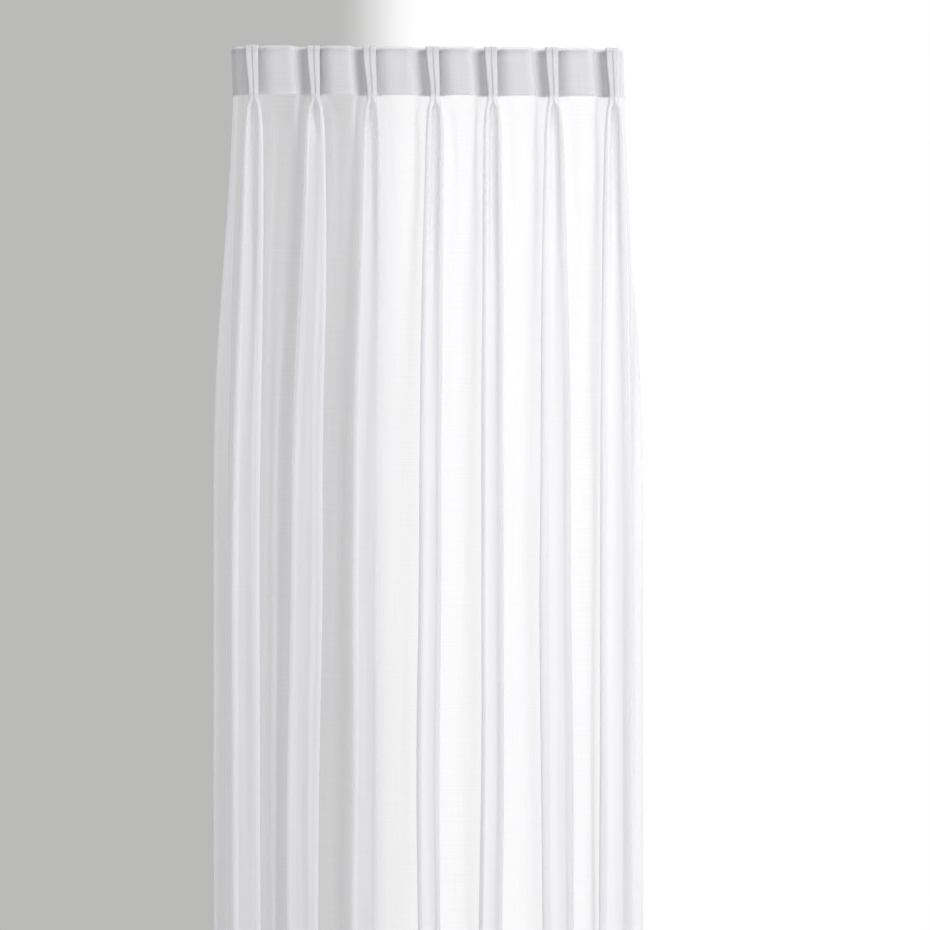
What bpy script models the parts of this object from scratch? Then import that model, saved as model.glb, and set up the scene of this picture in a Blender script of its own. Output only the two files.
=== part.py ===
"""A sheer voile curtain with pinch pleats, hanging by its heading.

The cloth is a flat cut, 1.40 m wide and 2.50 m long when finished. It hangs as
one back-and-forth section: seven double pleats stand forward, six spaces run
between them, and a short end turns away at each side. The section is worked
out afresh at each height, and every pleat, space and end keeps its own length
of cloth all the way down.

The origin is the middle of the heading's top edge, from which the curtain
hangs. +Z is up, and the curtain's face looks along -Y. Sizes are in metres.
"""

from collections import namedtuple

import bmesh
import bpy
import numpy as np

MM = 0.001

# The finished cloth
DROP = 2500 * MM
PLEAT_CLOTH = 101 * MM
SPACE_CLOTH = 100 * MM
END_CLOTH = 46.5 * MM
CLOTH_THICKNESS = 1.0 * MM
HEM_THICKNESS = 1.6 * MM
BOTTOM_HEM = 80 * MM
SIDE_HEM = 25 * MM
HEM_STEP = 1.5 * MM

# The heading tape, sewn along the back of the heading
TAPE_TOP = 3 * MM
TAPE_BOTTOM = 80 * MM
TAPE_THICKNESS = 1.0 * MM
LAYER_GAP = 0.3 * MM

# Each pleat, in millimetres: where its middle stands along the heading's top,
# how far it has drifted sideways by each of DRIFT_DROPS, and how wide its fold
# is once it hangs free.
Pleat = namedtuple("Pleat", "place pinch quarter middle low width")
PLEATS = [
    Pleat(place=-294, pinch=3, quarter=-10, middle=-15, low=-19, width=50),
    Pleat(place=-193, pinch=3, quarter=-14, middle=-21, low=-25, width=52),
    Pleat(place=-101, pinch=4, quarter=-5, middle=-10, low=-12, width=46),
    Pleat(place=3, pinch=4, quarter=-3, middle=-5, low=-6, width=38),
    Pleat(place=99, pinch=3, quarter=2, middle=0, low=-2, width=38),
    Pleat(place=200, pinch=3, quarter=9, middle=12, low=15, width=54),
    Pleat(place=300, pinch=3, quarter=8, middle=12, low=19, width=56),
]
DRIFT_DROPS = (0, 84, 680, 1440, 2500)
USUAL_WIDTH = 38

# The space to the right of each pleat but the last, once it hangs free: a soft
# ridge lies at a share of the way across and stands forward of the rest.
Space = namedtuple("Space", "ridge rise")
SPACES = [
    Space(ridge=0.44, rise=13),
    Space(ridge=0.60, rise=6),
    Space(ridge=0.30, rise=2),
    Space(ridge=0.55, rise=3),
    Space(ridge=0.38, rise=2),
    Space(ridge=0.62, rise=5),
]

# The section at some heights, in millimetres. Across a pleat of the usual
# width, neck is the half-width at its root, belly the widest half-width, tip
# where each of its two fingers stands furthest forward, gap half the room
# between them and valley how far forward they part, as a share of the depth.
# own is the share of a pleat's or a space's own shape that shows by then, and
# bend_1 to bend_4 are how far a space's bends stand forward of the roots.
Station = namedtuple("Station", "drop neck belly tip gap valley own bend_1 bend_2 bend_3 bend_4")
STATIONS = [
    Station(0, 7.4, 10.8, 5.8, 0.9, 0.12, 0.0, 11, 17, 15, 3),
    Station(3, 7.4, 10.7, 5.8, 0.9, 0.12, 0.0, 11, 17, 15, 3),
    Station(42, 7.4, 9.3, 5.1, 0.9, 0.12, 0.0, 11, 17, 15, 3),
    Station(80, 7.4, 7.6, 4.2, 0.9, 0.12, 0.0, 9, 15, 14, 2),
    Station(86, 7.4, 7.8, 4.5, 1.1, 0.12, 0.0, 9, 15, 14, 1),
    Station(104, 7.5, 12.4, 8.7, 4.4, 0.20, 0.0, 4, 13, 12, -3),
    Station(140, 7.8, 14.8, 11.0, 5.6, 0.28, 0.1, -4, 10, 8, -8),
    Station(230, 8.0, 16.0, 11.7, 6.0, 0.36, 0.3, -10, 4, 2, -12),
    Station(420, 8.4, 17.4, 12.4, 6.0, 0.60, 0.6, -13, -5, -7, -13),
    Station(680, 8.8, 18.2, 12.6, 6.4, 0.80, 0.9, -13, -11, -12, -13),
    Station(1080, 9.2, 18.4, 12.6, 6.6, 0.84, 1.0, -13, -12, -13, -13),
    Station(1440, 9.6, 18.6, 12.8, 6.6, 0.85, 1.0, -13, -12, -13, -13),
    Station(1950, 10.2, 19.2, 13.0, 6.8, 0.86, 1.0, -13, -12, -13, -13),
    Station(2500, 11.0, 20.0, 13.6, 7.0, 0.88, 1.0, -13, -12, -13, -13),
]

# A space's four bends, as shares of the way from one root to the next. At the
# top the last two are close, where the heading turns back beside a pleat.
BENDS_TOP = (0.19, 0.44, 0.72, 0.83)
BENDS_LOW = (0.12, 0.40, 0.66, 0.88)
BENDS_SPREAD_BY = 420

# An end, as points (out, back) from the outermost pleat's root. It turns back
# towards the wall beside the heading, and hangs looser and further out below.
END_TOP_LEFT = ((13, 5), (23, 16), (26, 34))
END_LOW_LEFT = ((16, 12), (28, 11), (38, 4))
END_TOP_RIGHT = ((9, 5), (15, 18), (17, 37))
END_LOW_RIGHT = ((14, 15), (24, 18), (36, 12))
END_LOOSE_BY = 900

# Where the columns of points lie, as shares of the cloth in half a pleat, in a
# space and in an end. The last lets the side hem have its own edge.
HALF_PLEAT_COLUMNS = (0.0, 0.22, 0.43, 0.52, 0.60, 0.68, 0.84, 1.0)
SPACE_COLUMNS = (0.0, 0.15, 0.30, 0.50, 0.67, 0.83, 1.0)
HEM_START = 1 - SIDE_HEM / END_CLOTH
END_COLUMNS = (0.0, 0.22, HEM_START - HEM_STEP / END_CLOTH, HEM_START, 0.75, 1.0)

CURVE_STEPS = 8
DEPTH_LIMITS = (4 * MM, 60 * MM)
BEND_LIMITS = (0.2, 3.0)
SOLVER_STEPS = 24

VOILE_COLOUR = (0.90, 0.90, 0.93, 0.55)
TAPE_COLOUR = (0.86, 0.86, 0.90, 0.85)


def station_at(drop):
    """The section's sizes at a drop in metres: lengths in metres, shares as they are."""
    drops = [row.drop * MM for row in STATIONS]
    found = {}
    for name in Station._fields[1:]:
        unit = 1 if name in ("valley", "own") else MM
        found[name] = float(np.interp(drop, drops, [getattr(row, name) for row in STATIONS])) * unit
    return Station(drop=drop, **found)


def middle_at(pleat, drop):
    """Where a pleat's middle stands along X at a drop."""
    moves = (0, pleat.pinch, pleat.quarter, pleat.middle, pleat.low)
    return (pleat.place + float(np.interp(drop / MM, DRIFT_DROPS, moves))) * MM


def neck_at(size, pleat):
    """Half the width of a pleat at its root."""
    extra = (pleat.width - USUAL_WIDTH) / 2 * MM * size.own
    return size.neck + 0.45 * extra


def mix(p, q, u, start, end):
    """The points on the way from p to q that u marks between start and end."""
    share = (u - start) / (end - start)
    return (1 - share) * p + share * q


def curve_through(knots):
    """A centripetal Catmull-Rom curve through the knots, as points for each span."""
    k = np.array(knots, float)
    k = np.vstack([2 * k[0] - k[1], k, 2 * k[-1] - k[-2]])
    t = np.concatenate([[0], np.cumsum(np.sqrt(np.linalg.norm(np.diff(k, axis=0), axis=1)))])
    spans = []
    for i in range(1, len(k) - 2):
        u = np.linspace(t[i], t[i + 1], CURVE_STEPS + 1)[:, None]
        near = mix(k[i - 1], k[i], u, t[i - 1], t[i])
        here = mix(k[i], k[i + 1], u, t[i], t[i + 1])
        far = mix(k[i + 1], k[i + 2], u, t[i + 1], t[i + 2])
        before = mix(near, here, u, t[i - 1], t[i + 1])
        after = mix(here, far, u, t[i], t[i + 2])
        spans.append(mix(before, after, u, t[i], t[i + 1]))
    return spans


def length_of(line):
    """A polyline's length."""
    return float(np.linalg.norm(np.diff(line, axis=0), axis=1).sum())


def solve(shape, wanted, limits):
    """The setting between two limits at which shape(setting) has the wanted length."""
    low, high = limits
    for _ in range(SOLVER_STEPS):
        setting = (low + high) / 2
        if length_of(np.vstack(curve_through(shape(setting)))) < wanted:
            low = setting
        else:
            high = setting
    return shape((low + high) / 2)


def pleat_knots(size, pleat):
    """The bends of a pleat from its left root to its right one, as (x, forward)."""
    extra = (pleat.width - USUAL_WIDTH) / 2 * MM * size.own
    neck = neck_at(size, pleat)
    belly = size.belly + extra
    tip = size.tip + 0.8 * extra
    gap = size.gap + 0.4 * extra

    def shape(depth):
        valley = size.valley * depth
        half = [
            (neck, 0),
            (neck + 0.72 * (belly - neck), 0.26 * depth),
            (belly, 0.62 * depth),
            ((belly + tip) / 2 + 0.22 * (belly - tip), 0.92 * depth),
            (tip, depth),
            ((tip + gap) / 2 - 0.22 * (tip - gap), 0.90 * depth + 0.05 * valley),
            (gap, 0.55 * depth + 0.45 * valley),
            (0.55 * gap, 0.08 * depth + 0.92 * valley),
            (0, valley),
        ]
        return [(-out, forward) for out, forward in half] + half[-2::-1]

    return solve(shape, PLEAT_CLOTH, DEPTH_LIMITS)


def space_knots(size, space, start, end, drop):
    """The bends of the cloth between two roots that stand at start and end."""
    spread = min(1.0, drop / (BENDS_SPREAD_BY * MM))
    shares = [a + (b - a) * spread for a, b in zip(BENDS_TOP, BENDS_LOW)]
    shares[1] += (space.ridge - BENDS_LOW[1]) * size.own
    shares[2] = max(shares[2], (shares[1] + shares[3]) / 2)
    bends = [size.bend_1, size.bend_2 + space.rise * MM * size.own, size.bend_3, size.bend_4]

    def shape(factor):
        inner = [(start + s * (end - start), factor * bend) for s, bend in zip(shares, bends)]
        return [(start, 0), *inner, (end, 0)]

    return solve(shape, SPACE_CLOTH, BEND_LIMITS)


def end_knots(root, side, drop, top, low):
    """The bends of a free end, from its root outwards."""
    loose = min(1.0, drop / (END_LOOSE_BY * MM))
    loose = loose * loose * (3 - 2 * loose)

    def shape(factor):
        points = [(a[0] + (b[0] - a[0]) * loose, a[1] + (b[1] - a[1]) * loose) for a, b in zip(top, low)]
        return [(root, 0)] + [(root + side * out * factor * MM, -back * factor * MM) for out, back in points]

    return solve(shape, END_CLOTH, BEND_LIMITS)


def section_at(drop):
    """The cloth's line in plan at a drop, as one polyline for each stretch.

    The stretches are an end, half a pleat and a space, in order from the left
    edge. A point is (x, forward).
    """
    size = station_at(drop)
    middles = [middle_at(pleat, drop) for pleat in PLEATS]
    necks = [neck_at(size, pleat) for pleat in PLEATS]
    knots = end_knots(middles[0] - necks[0], -1, drop, END_TOP_LEFT, END_LOW_LEFT)[:0:-1]
    counts = [len(knots)]
    for i, pleat in enumerate(PLEATS):
        across = [(middles[i] + x, forward) for x, forward in pleat_knots(size, pleat)]
        knots += across
        counts += [len(across) // 2, len(across) // 2]
        if i < len(SPACES):
            start = middles[i] + necks[i]
            end = middles[i + 1] - necks[i + 1]
            inner = space_knots(size, SPACES[i], start, end, drop)[1:-1]
            knots += inner
            counts.append(len(inner) + 1)
    tail = end_knots(middles[-1] + necks[-1], 1, drop, END_TOP_RIGHT, END_LOW_RIGHT)[1:]
    knots += tail
    counts.append(len(tail))
    spans = curve_through(knots)
    stretches = []
    for count in counts:
        taken, spans = spans[:count], spans[count:]
        stretches.append(np.vstack([taken[0], *[span[1:] for span in taken[1:]]]))
    return stretches


def column_shares():
    """For each stretch, the shares of its cloth at which a column of points lies."""
    falling = tuple(1 - share for share in HALF_PLEAT_COLUMNS[::-1])
    shares = [tuple(1 - share for share in END_COLUMNS[::-1])]
    for i in range(len(PLEATS)):
        shares += [HALF_PLEAT_COLUMNS, falling]
        if i < len(SPACES):
            shares.append(SPACE_COLUMNS)
    return shares + [END_COLUMNS]


def row_of_points(drop):
    """The cloth's points across one height, from the left edge to the right."""
    row = []
    for line, shares in zip(section_at(drop), column_shares()):
        steps = np.linalg.norm(np.diff(line, axis=0), axis=1)
        along = np.concatenate([[0], np.cumsum(steps)]) / steps.sum()
        found = [(np.interp(s, along, line[:, 0]), np.interp(s, along, line[:, 1])) for s in shares]
        row += found if not row else found[1:]
    return [(x, -forward, -drop) for x, forward in row]


def plain_material(name, colour, roughness):
    """A cloth-like Principled material."""
    material = bpy.data.materials.new(name)
    material.use_nodes = True
    shader = material.node_tree.nodes["Principled BSDF"]
    shader.inputs["Base Color"].default_value = colour[:3] + (1.0,)
    shader.inputs["Alpha"].default_value = colour[3]
    shader.inputs["Roughness"].default_value = roughness
    shader.inputs["Metallic"].default_value = 0.0
    material.diffuse_color = colour
    return material


def hung_sheet(name, drops, collection, material):
    """The cloth between the first and last of the drops, as an open surface.

    It starts as a flat grid with the right number of points, which then go to
    where the hanging cloth has them.
    """
    rows = [row_of_points(drop) for drop in drops]
    columns = len(rows[0])
    sheet = bmesh.new()
    bmesh.ops.create_grid(sheet, x_segments=columns - 1, y_segments=len(drops) - 1, size=0.5)
    sheet.verts.ensure_lookup_table()
    for j, row in enumerate(reversed(rows)):
        for i, point in enumerate(row):
            sheet.verts[j * columns + i].co = point
    for face in sheet.faces:
        face.smooth = True
    sheet.normal_update()
    mesh = bpy.data.meshes.new(name)
    sheet.to_mesh(mesh)
    sheet.free()
    mesh.materials.append(material)
    thing = bpy.data.objects.new(name, mesh)
    collection.objects.link(thing)
    return thing


def thicken(thing, thickness, behind=0.0):
    """Gives a sheet its thickness, which starts that far behind its surface."""
    shell = thing.modifiers.new("thickness", "SOLIDIFY")
    shell.thickness = thickness
    shell.offset = -1 - 2 * behind / thickness
    shell.use_even_offset = True
    shell.use_quality_normals = True
    return shell


def build_panel(collection):
    """The voile: one cloth, thicker at its side and bottom hems.

    The side hems start below the tape, which presses them flat above.
    """
    hem_top = DROP - BOTTOM_HEM
    drops = [row.drop * MM for row in STATIONS[:-1]] + [hem_top - HEM_STEP, hem_top, DROP]
    material = plain_material("voile", VOILE_COLOUR, 0.75)
    panel = hung_sheet("voile_panel", drops, collection, material)
    shares = column_shares()
    hem_columns = sum(share <= SIDE_HEM / END_CLOTH + 1e-6 for share in shares[0])
    columns = 1 + sum(len(stretch) - 1 for stretch in shares)
    hems = panel.vertex_groups.new(name="hems")
    for vertex in panel.data.vertices:
        column = vertex.index % columns
        below_tape = -vertex.co.z > TAPE_BOTTOM + HEM_STEP
        in_side_hem = min(column, columns - 1 - column) < hem_columns
        in_bottom_hem = -vertex.co.z > hem_top - HEM_STEP / 2
        if in_bottom_hem or (in_side_hem and below_tape):
            hems.add([vertex.index], 1.0, "REPLACE")
    shell = thicken(panel, HEM_THICKNESS)
    shell.vertex_group = hems.name
    shell.thickness_vertex_group = CLOTH_THICKNESS / HEM_THICKNESS


def build_tape(collection):
    """The heading tape, which follows the cloth's back through every pleat."""
    drops = [row.drop * MM for row in STATIONS if TAPE_TOP <= row.drop * MM <= TAPE_BOTTOM]
    material = plain_material("heading_tape", TAPE_COLOUR, 0.7)
    tape = hung_sheet("heading_tape", drops, collection, material)
    thicken(tape, TAPE_THICKNESS, CLOTH_THICKNESS + LAYER_GAP)


def main():
    """Clears the scene and builds the curtain."""
    for thing in list(bpy.data.objects):
        bpy.data.objects.remove(thing)
    curtain = bpy.data.collections.new("sheer_voile_curtain")
    bpy.context.scene.collection.children.link(curtain)
    build_panel(curtain)
    build_tape(curtain)


if __name__ == "__main__":
    main()
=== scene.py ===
"""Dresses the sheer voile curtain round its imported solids.

The cloth is one thin sheet with its hems turned, on the solids' own hanging
section. The stiff tape runs behind its heading, and thread holds both. Lengths
are in metres, and the section's tables in millimetres. +Z is up, the curtain's
face looks along -Y, and a drop is measured down from the heading's top edge.
"""

import logging
import math
from collections.abc import Callable, Sequence
from dataclasses import dataclass
from enum import Enum

import bpy
import numpy as np
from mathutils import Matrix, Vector


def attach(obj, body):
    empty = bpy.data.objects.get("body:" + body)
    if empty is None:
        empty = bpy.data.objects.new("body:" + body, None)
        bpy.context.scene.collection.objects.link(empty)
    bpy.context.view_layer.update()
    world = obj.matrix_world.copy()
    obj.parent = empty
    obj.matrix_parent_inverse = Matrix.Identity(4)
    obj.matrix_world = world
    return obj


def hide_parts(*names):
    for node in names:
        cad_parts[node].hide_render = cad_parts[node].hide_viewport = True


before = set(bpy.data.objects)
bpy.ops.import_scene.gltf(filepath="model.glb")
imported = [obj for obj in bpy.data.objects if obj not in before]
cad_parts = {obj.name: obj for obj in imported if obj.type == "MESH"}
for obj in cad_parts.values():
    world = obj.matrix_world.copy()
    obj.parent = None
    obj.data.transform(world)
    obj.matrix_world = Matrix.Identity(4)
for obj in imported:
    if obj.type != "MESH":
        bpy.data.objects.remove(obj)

LOG = logging.getLogger("voile_curtain")
MM = 0.001
TAPE_BEHIND = 0.0013

Array = np.ndarray
Pair = tuple[float, float]
Triple = tuple[float, float, float]


@dataclass(frozen=True)
class Pleat:
    """One pleat, in millimetres: where it stands, and how its fold hangs.

    Its middle is at place along the heading's top, and has moved sideways by
    pinch, quarter, middle and low at the section's drift drops. width is that
    of its free fold, which sways to either side, starting at a turn of phase.
    lean is how far its front hangs to the right of its root, and filled how
    far the valley between its two legs has closed, from 0 to 1.
    """

    place: float
    pinch: float
    quarter: float
    middle: float
    low: float
    width: float
    sway: float
    phase: float
    lean: float = 0.0
    filled: float = 0.0


@dataclass(frozen=True)
class Space:
    """The cloth between two pleats: where its soft ridge lies and how it rises."""

    ridge: float
    rise: float
    phase: float


@dataclass(frozen=True)
class Station:
    """The section at one drop, in millimetres but for the last three shares.

    valley is how far forward a pleat's middle lies, own how much each fold keeps
    its own form, and flush how flat and closed the front of a pleat is.
    """

    drop: float
    neck: float
    belly: float
    tip: float
    gap: float
    bend_1: float
    bend_2: float
    bend_3: float
    bend_4: float
    valley: float
    own: float
    flush: float = 0.0


class Stretch(Enum):
    """A stretch of the cloth's width between two of its sharp folds."""

    LEFT_END = "left end"
    RISING = "left half of a pleat"
    FALLING = "right half of a pleat"
    SPACE = "space"
    RIGHT_END = "right end"


class Side(Enum):
    """The face of the cloth that a seam's thread shows on."""

    FRONT = 1
    BACK = -1


def read_table(drops: Array, places: Sequence[float], values: Sequence[float]) -> Array:
    """Reads a smooth curve through a table's rows, with no overshoot between them.

    Args:
        drops: where the curve is read.
        places: where the table's rows are, rising.
        values: the table's values there.

    Returns:
        The curve's value at each drop.
    """
    x = np.asarray(places, float)
    y = np.asarray(values, float)
    steps = np.diff(y) / np.diff(x)
    slopes = np.zeros(len(x))
    same_way = steps[1:] * steps[:-1] > 0
    total = np.where(same_way, steps[1:] + steps[:-1], 1.0)
    slopes[1:-1] = np.where(same_way, 2 * steps[1:] * steps[:-1] / total, 0.0)
    i = np.clip(np.searchsorted(x, drops) - 1, 0, len(x) - 2)
    gap = x[i + 1] - x[i]
    t = np.clip((drops - x[i]) / gap, 0.0, 1.0)
    rising = t * t * (3 - 2 * t)
    leaving = t * (1 - t) ** 2 * gap * slopes[i]
    arriving = t * t * (1 - t) * gap * slopes[i + 1]
    return y[i] * (1 - rising) + y[i + 1] * rising + leaving - arriving


def smooth_step(value: Array, start: float, end: float) -> Array:
    """Rises smoothly from 0 at start to 1 at end."""
    t = np.clip((value - start) / (end - start), 0.0, 1.0)
    return t * t * (3 - 2 * t)


def smooth_curves(knots: Array, steps: int) -> Array:
    """Centripetal Catmull-Rom curves, one through each row's knots.

    Args:
        knots: points as (rows, knots, 2).
        steps: the number of steps in each span.

    Returns:
        Points as (rows, spans, steps + 1, 2).
    """
    before = 2 * knots[:, :1] - knots[:, 1:2]
    after = 2 * knots[:, -1:] - knots[:, -2:-1]
    k = np.concatenate([before, knots, after], axis=1)
    times = np.cumsum(np.sqrt(np.linalg.norm(np.diff(k, axis=1), axis=2)), axis=1)
    times = np.concatenate([np.zeros((len(k), 1)), times], axis=1)
    corners = [k[:, i : k.shape[1] - 3 + i, None, :] for i in range(4)]
    marks = [times[:, i : k.shape[1] - 3 + i, None, None] for i in range(4)]
    u = marks[1] + (marks[2] - marks[1]) * np.linspace(0, 1, steps + 1)[None, None, :, None]

    def mix(p: Array, q: Array, start: int, end: int) -> Array:
        """The points from p to q that u marks between two of the times."""
        share = (u - marks[start]) / (marks[end] - marks[start])
        return (1 - share) * p + share * q

    near = mix(corners[0], corners[1], 0, 1)
    here = mix(corners[1], corners[2], 1, 2)
    far = mix(corners[2], corners[3], 2, 3)
    return mix(mix(near, here, 0, 2), mix(here, far, 1, 3), 1, 2)


def curve_lengths(curves: Array) -> Array:
    """Each row's length along all its spans."""
    return np.linalg.norm(np.diff(curves, axis=2), axis=3).sum(axis=(1, 2))


def knot_rows(bends: Sequence[tuple[Array, Array]]) -> Array:
    """Stacks bends, each as (x, forward) down the rows, to (rows, bends, 2)."""
    return np.stack([np.stack(bend, axis=1) for bend in bends], axis=1)


@dataclass(frozen=True)
class Cut:
    """The flat cloth: its finished sizes, and how the width is shared out."""

    drop: float = 2.500
    pleat: float = 0.101
    space: float = 0.100
    end: float = 0.0465
    side_hem: float = 0.025
    bottom_hem: float = 0.080
    top_turn: float = 0.012
    pleats: int = 7

    @property
    def width(self) -> float:
        """The finished width."""
        return self.pleats * self.pleat + (self.pleats - 1) * self.space + 2 * self.end

    @property
    def flat(self) -> Pair:
        """The width and length of the cut with its hems and turning opened out."""
        return self.width + 2 * self.side_hem, self.drop + self.bottom_hem + self.top_turn

    def stretches(self) -> list[tuple[Stretch, int, float]]:
        """Shares the width out.

        Returns:
            Each stretch from the left edge on, with its number and its length.
        """
        found = [(Stretch.LEFT_END, 0, self.end)]
        for i in range(self.pleats):
            found += [(Stretch.RISING, i, self.pleat / 2), (Stretch.FALLING, i, self.pleat / 2)]
            if i + 1 < self.pleats:
                found.append((Stretch.SPACE, i, self.space))
        return found + [(Stretch.RIGHT_END, 0, self.end)]

    def place(self, stretch: Stretch, number: int, share: float) -> float:
        """Finds a place on the flat cloth.

        Args:
            stretch: the kind of stretch that it lies in.
            number: which of them, from 0 at the left.
            share: how far through that stretch it lies.

        Returns:
            Its distance from the left edge.
        """
        along = 0.0
        for kind, i, length in self.stretches():
            if kind is stretch and i == number:
                return along + share * length
            along += length
        raise ValueError(f"no {stretch.value} {number}")


@dataclass(frozen=True)
class HangingSection:
    """The cloth's line in plan at any drop, as (x, forward), in millimetres.

    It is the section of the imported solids. Every pleat, space and end keeps its
    own length of cloth at every drop. Where a pleat is wider or narrower than
    usual, shares of the difference go to its neck, its tip and its gap.
    """

    cut: Cut
    pleats: tuple[Pleat, ...]
    spaces: tuple[Space, ...]
    stations: tuple[Station, ...]
    drift_drops: tuple[float, ...] = (0, 84, 680, 1440, 2500)
    usual_width: float = 38
    extra_neck: float = 0.45
    extra_tip: float = 0.8
    extra_gap: float = 0.4
    full_valley: float = 0.93
    slit_closed: float = 0.88
    slit_edge: float = 0.12
    rounding: float = 0.22
    squaring: float = 0.18
    pinch_drop: float = 84
    bends_rim: tuple[float, ...] = (0.21, 0.44, 0.67, 0.77)
    bends_top: tuple[float, ...] = (0.21, 0.44, 0.72, 0.83)
    bends_low: tuple[float, ...] = (0.12, 0.40, 0.66, 0.88)
    bends_spread_by: float = 420
    left_end_top: tuple[Pair, ...] = ((13, 5), (23, 16), (26, 34))
    left_end_low: tuple[Pair, ...] = ((16, 12), (28, 11), (38, 4))
    right_end_top: tuple[Pair, ...] = ((9, 5), (15, 18), (17, 37))
    right_end_low: tuple[Pair, ...] = ((13, 15), (21, 20), (31, 16))
    ends_loose_by: float = 900
    sway_from: float = 300
    sway_by: float = 1100
    sway_length: float = 1300
    second_wave: Pair = (0.4, 2.3)
    ridge_sway: float = 0.03
    rise_sway: float = 1.2
    rise_lag: float = 0.37
    depth_limits: Pair = (4, 60)
    bend_limits: Pair = (0.2, 3.0)
    curve_steps: int = 24
    rounds: int = 20

    def read(self, name: str, drops: Array) -> Array:
        """One column of the stations' table at each drop."""
        rows = self.stations
        return read_table(drops, [row.drop for row in rows], [getattr(row, name) for row in rows])

    def sway(self, reach: float, phase: float, drops: Array) -> Array:
        """Swings a free fold from side to side on its way down.

        Args:
            reach: how far it swings.
            phase: where the swing starts, in turns.
            drops: the drops.

        Returns:
            How far it has swung at each drop.
        """
        height, pace = self.second_wave
        turns = drops / self.sway_length + phase
        wave = np.sin(2 * math.pi * turns) + height * np.sin(2 * math.pi * (pace * turns + 2 * phase))
        return reach * wave * smooth_step(drops, self.sway_from, self.sway_by)

    def fit(self, shape: Callable[[Array], Array], wanted: float, limits: Pair, rows: int) -> Array:
        """Finds the setting that gives a shape its own length of cloth, in each row.

        Args:
            shape: gives the knots, as (rows, knots, 2), for a setting in each row.
            wanted: the length of cloth, in millimetres.
            limits: the least and the greatest setting. The length rises with it.
            rows: the number of rows.

        Returns:
            The knots at that setting.
        """
        low = np.full(rows, limits[0], float)
        high = np.full(rows, limits[1], float)
        for _ in range(self.rounds):
            setting = (low + high) / 2
            short = curve_lengths(smooth_curves(shape(setting), self.curve_steps)) < wanted
            low = np.where(short, setting, low)
            high = np.where(short, high, setting)
        return shape((low + high) / 2)

    def extra(self, pleat: Pleat, drops: Array) -> Array:
        """Half of what a pleat is wider than usual at each drop."""
        return (pleat.width - self.usual_width) / 2 * self.read("own", drops)

    def neck(self, pleat: Pleat, drops: Array) -> Array:
        """Half the width of a pleat at its root."""
        return self.read("neck", drops) + self.extra_neck * self.extra(pleat, drops)

    def middle(self, pleat: Pleat, drops: Array) -> Array:
        """Finds where a pleat's middle stands.

        Args:
            pleat: the pleat.
            drops: the drops.

        Returns:
            Its x at each drop.
        """
        moves = (0, pleat.pinch, pleat.quarter, pleat.middle, pleat.low)
        drift = read_table(drops, self.drift_drops, moves)
        return pleat.place + drift + self.sway(pleat.sway, pleat.phase, drops)

    def pleat_knots(self, pleat: Pleat, drops: Array) -> Array:
        """Bends a pleat's cloth round its two fingers, or its two legs.

        Args:
            pleat: the pleat.
            drops: the drops.

        Returns:
            Its knots from its left root to its right one, about its middle.
        """
        extra = self.extra(pleat, drops)
        neck = self.neck(pleat, drops)
        belly = self.read("belly", drops) + extra
        tip = self.read("tip", drops) + self.extra_tip * extra
        gap = self.read("gap", drops) + self.extra_gap * extra
        share = self.read("valley", drops)
        loose = smooth_step(drops, self.pinch_drop, 2 * self.pinch_drop)
        share = share + (self.full_valley - share) * pleat.filled * loose
        lean = pleat.lean * smooth_step(drops, self.pinch_drop, self.ends_loose_by / 2)
        flush = self.read("flush", drops)
        slit = gap * (1 - self.slit_closed * flush)
        brow = (tip + gap) / 2 - self.rounding * (tip - gap)
        brow = brow + (slit + self.slit_edge - brow) * flush
        brim = (belly + tip) / 2 + (self.rounding + self.squaring * flush) * (belly - tip)
        zero = np.zeros_like(drops)

        def shape(depth: Array) -> Array:
            """Bends the pleat: root, belly, brim, tip, brow, slit and valley, and back.

            Args:
                depth: how far forward its tips lie in each row.

            Returns:
                The knots as (rows, knots, 2).
            """
            valley = share * depth
            half = [
                (neck, zero),
                (neck + 0.72 * (belly - neck), 0.26 * depth),
                (belly, 0.62 * depth),
                (brim, (0.92 + 0.06 * flush) * depth),
                (tip, depth),
                (brow, (0.90 + 0.09 * flush) * depth + 0.05 * valley * (1 - flush)),
                (slit, 0.55 * depth + 0.45 * valley),
                (0.55 * slit, 0.08 * depth + 0.92 * valley),
                (zero, valley),
            ]
            whole = [(-out, forward) for out, forward in half] + half[-2::-1]
            return knot_rows([(out + lean * forward / depth, forward) for out, forward in whole])

        return self.fit(shape, self.cut.pleat / MM, self.depth_limits, len(drops))

    def space_knots(self, space: Space, start: Array, end: Array, drops: Array) -> Array:
        """Bends the cloth of a space between two pleats.

        Args:
            space: the space.
            start: where the root on its left stands at each drop.
            end: where the root on its right stands.
            drops: the drops.

        Returns:
            Its knots, without the roots.
        """
        lower = np.minimum(1.0, drops / self.pinch_drop)
        spread = np.minimum(1.0, drops / self.bends_spread_by)
        own = self.read("own", drops)
        upper = [a + (b - a) * lower for a, b in zip(self.bends_rim, self.bends_top)]
        shares = [a + (b - a) * spread for a, b in zip(upper, self.bends_low)]
        shares[1] = shares[1] + (space.ridge - self.bends_low[1]) * own
        shares[1] = shares[1] + self.sway(self.ridge_sway, space.phase, drops)
        shares[2] = np.maximum(shares[2], (shares[1] + shares[3]) / 2)
        bends = [self.read(f"bend_{i}", drops) for i in (1, 2, 3, 4)]
        rise = space.rise * own + self.sway(self.rise_sway, space.phase + self.rise_lag, drops)
        bends[1] = bends[1] + rise

        def shape(factor: Array) -> Array:
            """The roots, and the bends at the given times their table depth."""
            inner = [(start + s * (end - start), factor * bend) for s, bend in zip(shares, bends)]
            return knot_rows([(start, np.zeros_like(start)), *inner, (end, np.zeros_like(end))])

        return self.fit(shape, self.cut.space / MM, self.bend_limits, len(drops))[:, 1:-1]

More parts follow.
